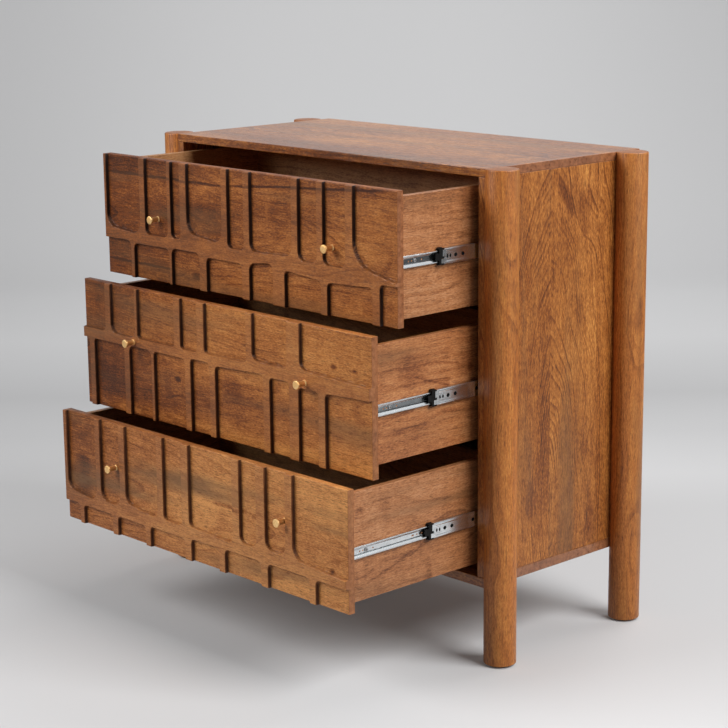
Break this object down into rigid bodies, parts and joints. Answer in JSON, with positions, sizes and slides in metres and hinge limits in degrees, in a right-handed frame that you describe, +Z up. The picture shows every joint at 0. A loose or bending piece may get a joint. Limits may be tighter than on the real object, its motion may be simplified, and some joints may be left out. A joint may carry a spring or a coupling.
{
  "type": "chest of drawers",
  "caption": "Wooden chest of drawers on round corner posts, with carved block fronts, small round brass knobs and full-extension ball bearing slides.",
  "frame": {"origin": "on the floor, in the middle of all that the chest covers with its drawers open as in the picture", "axes": "+X to the right of someone facing the chest, +Y to its back, +Z up"},
  "size_m": [0.914, 0.7204, 0.864],
  "materials": {
    "carcass_wood": "satin lacquer over warm brown hardwood, glued boards",
    "post_wood": "satin lacquer over warm brown hardwood, turned round",
    "front_wood": "satin lacquer over carved warm brown hardwood",
    "box_wood": "satin lacquer over warm brown hardwood",
    "plywood": "stained plywood",
    "dowel_wood": "plain beech, grooved",
    "brass": "satin brass",
    "zinc_steel": "bright zinc plate",
    "screw_steel": "zinc-plated steel",
    "black_plastic": "moulded, fine texture",
    "glide_plastic": "hard nylon"
  },
  "bodies": {
    "carcass": {"back_panel": "plywood", "back_panel_screws": "screw_steel", "bottom_panel": "carcass_wood", "bottom_slide_cabinet_members": "zinc_steel", "carcass_dowels": "dowel_wood", "foot_glides": "glide_plastic", "middle_slide_cabinet_members": "zinc_steel", "post_bolts": "screw_steel", "post_front_left": "post_wood", "post_front_right": "post_wood", "post_rear_left": "post_wood", "post_rear_right": "post_wood", "side_panel_left": "carcass_wood", "side_panel_right": "carcass_wood", "slide_cabinet_screws": "screw_steel", "top_panel": "carcass_wood", "top_slide_cabinet_members": "zinc_steel"},
    "top_drawer": {"top_drawer_back": "box_wood", "top_drawer_bottom": "plywood", "top_drawer_dowels": "dowel_wood", "top_drawer_front": "front_wood", "top_drawer_side_left": "box_wood", "top_drawer_side_right": "box_wood", "top_knob_screws": "screw_steel", "top_knobs": "brass", "top_slide_drawer_members": "zinc_steel", "top_slide_drawer_screws": "screw_steel"},
    "top_slide_middle": {"top_slide_end_caps": "black_plastic", "top_slide_middle_members": "zinc_steel"},
    "top_outer_cages": {"top_slide_outer_cages": "zinc_steel"},
    "top_inner_cages": {"top_slide_inner_cages": "zinc_steel"},
    "middle_drawer": {"middle_drawer_back": "box_wood", "middle_drawer_bottom": "plywood", "middle_drawer_dowels": "dowel_wood", "middle_drawer_front": "front_wood", "middle_drawer_side_left": "box_wood", "middle_drawer_side_right": "box_wood", "middle_knob_screws": "screw_steel", "middle_knobs": "brass", "middle_slide_drawer_members": "zinc_steel", "middle_slide_drawer_screws": "screw_steel"},
    "middle_slide_middle": {"middle_slide_end_caps": "black_plastic", "middle_slide_middle_members": "zinc_steel"},
    "middle_outer_cages": {"middle_slide_outer_cages": "zinc_steel"},
    "middle_inner_cages": {"middle_slide_inner_cages": "zinc_steel"},
    "bottom_drawer": {"bottom_drawer_back": "box_wood", "bottom_drawer_bottom": "plywood", "bottom_drawer_dowels": "dowel_wood", "bottom_drawer_front": "front_wood", "bottom_drawer_side_left": "box_wood", "bottom_drawer_side_right": "box_wood", "bottom_knob_screws": "screw_steel", "bottom_knobs": "brass", "bottom_slide_drawer_members": "zinc_steel", "bottom_slide_drawer_screws": "screw_steel"},
    "bottom_slide_middle": {"bottom_slide_end_caps": "black_plastic", "bottom_slide_middle_members": "zinc_steel"},
    "bottom_outer_cages": {"bottom_slide_outer_cages": "zinc_steel"},
    "bottom_inner_cages": {"bottom_slide_inner_cages": "zinc_steel"}
  },
  "joints": [
    {"name": "top_drawer_slide", "type": "slide", "parent": "carcass", "child": "top_drawer", "axis": [0, -1, 0], "range_m": [-0.187, 0.153]},
    {"name": "top_middle_members_slide", "type": "slide", "parent": "carcass", "child": "top_slide_middle", "axis": [0, -1, 0], "range_m": [-0.1135, 0.09295]},
    {"name": "top_outer_cages_slide", "type": "slide", "parent": "carcass", "child": "top_outer_cages", "axis": [0, -1, 0], "range_m": [-0.057, 0.04673]},
    {"name": "top_inner_cages_slide", "type": "slide", "parent": "carcass", "child": "top_inner_cages", "axis": [0, -1, 0], "range_m": [-0.1505, 0.12323]},
    {"name": "middle_drawer_slide", "type": "slide", "parent": "carcass", "child": "middle_drawer", "axis": [0, -1, 0], "range_m": [-0.246, 0.094]},
    {"name": "middle_middle_members_slide", "type": "slide", "parent": "carcass", "child": "middle_slide_middle", "axis": [0, -1, 0], "range_m": [-0.1315, 0.05056]},
    {"name": "middle_outer_cages_slide", "type": "slide", "parent": "carcass", "child": "middle_outer_cages", "axis": [0, -1, 0], "range_m": [-0.066, 0.02553]},
    {"name": "middle_inner_cages_slide", "type": "slide", "parent": "carcass", "child": "middle_inner_cages", "axis": [0, -1, 0], "range_m": [-0.189, 0.07253]},
    {"name": "bottom_drawer_slide", "type": "slide", "parent": "carcass", "child": "bottom_drawer", "axis": [0, -1, 0], "range_m": [-0.302, 0.038]},
    {"name": "bottom_middle_members_slide", "type": "slide", "parent": "carcass", "child": "bottom_slide_middle", "axis": [0, -1, 0], "range_m": [-0.1395, 0.01799]},
    {"name": "bottom_outer_cages_slide", "type": "slide", "parent": "carcass", "child": "bottom_outer_cages", "axis": [0, -1, 0], "range_m": [-0.07, 0.00925]},
    {"name": "bottom_inner_cages_slide", "type": "slide", "parent": "carcass", "child": "bottom_inner_cages", "axis": [0, -1, 0], "range_m": [-0.221, 0.02825]}
  ],
  "couplings": [
    {"joint": "top_middle_members_slide", "follows": "top_drawer_slide", "ratio": 0.60428},
    {"joint": "top_outer_cages_slide", "follows": "top_drawer_slide", "ratio": 0.30214},
    {"joint": "top_inner_cages_slide", "follows": "top_drawer_slide", "ratio": 0.80214},
    {"joint": "middle_middle_members_slide", "follows": "middle_drawer_slide", "ratio": 0.53252},
    {"joint": "middle_outer_cages_slide", "follows": "middle_drawer_slide", "ratio": 0.26626},
    {"joint": "middle_inner_cages_slide", "follows": "middle_drawer_slide", "ratio": 0.76626},
    {"joint": "bottom_middle_members_slide", "follows": "bottom_drawer_slide", "ratio": 0.46026},
    {"joint": "bottom_outer_cages_slide", "follows": "bottom_drawer_slide", "ratio": 0.23013},
    {"joint": "bottom_inner_cages_slide", "follows": "bottom_drawer_slide", "ratio": 0.73013}
  ]
}
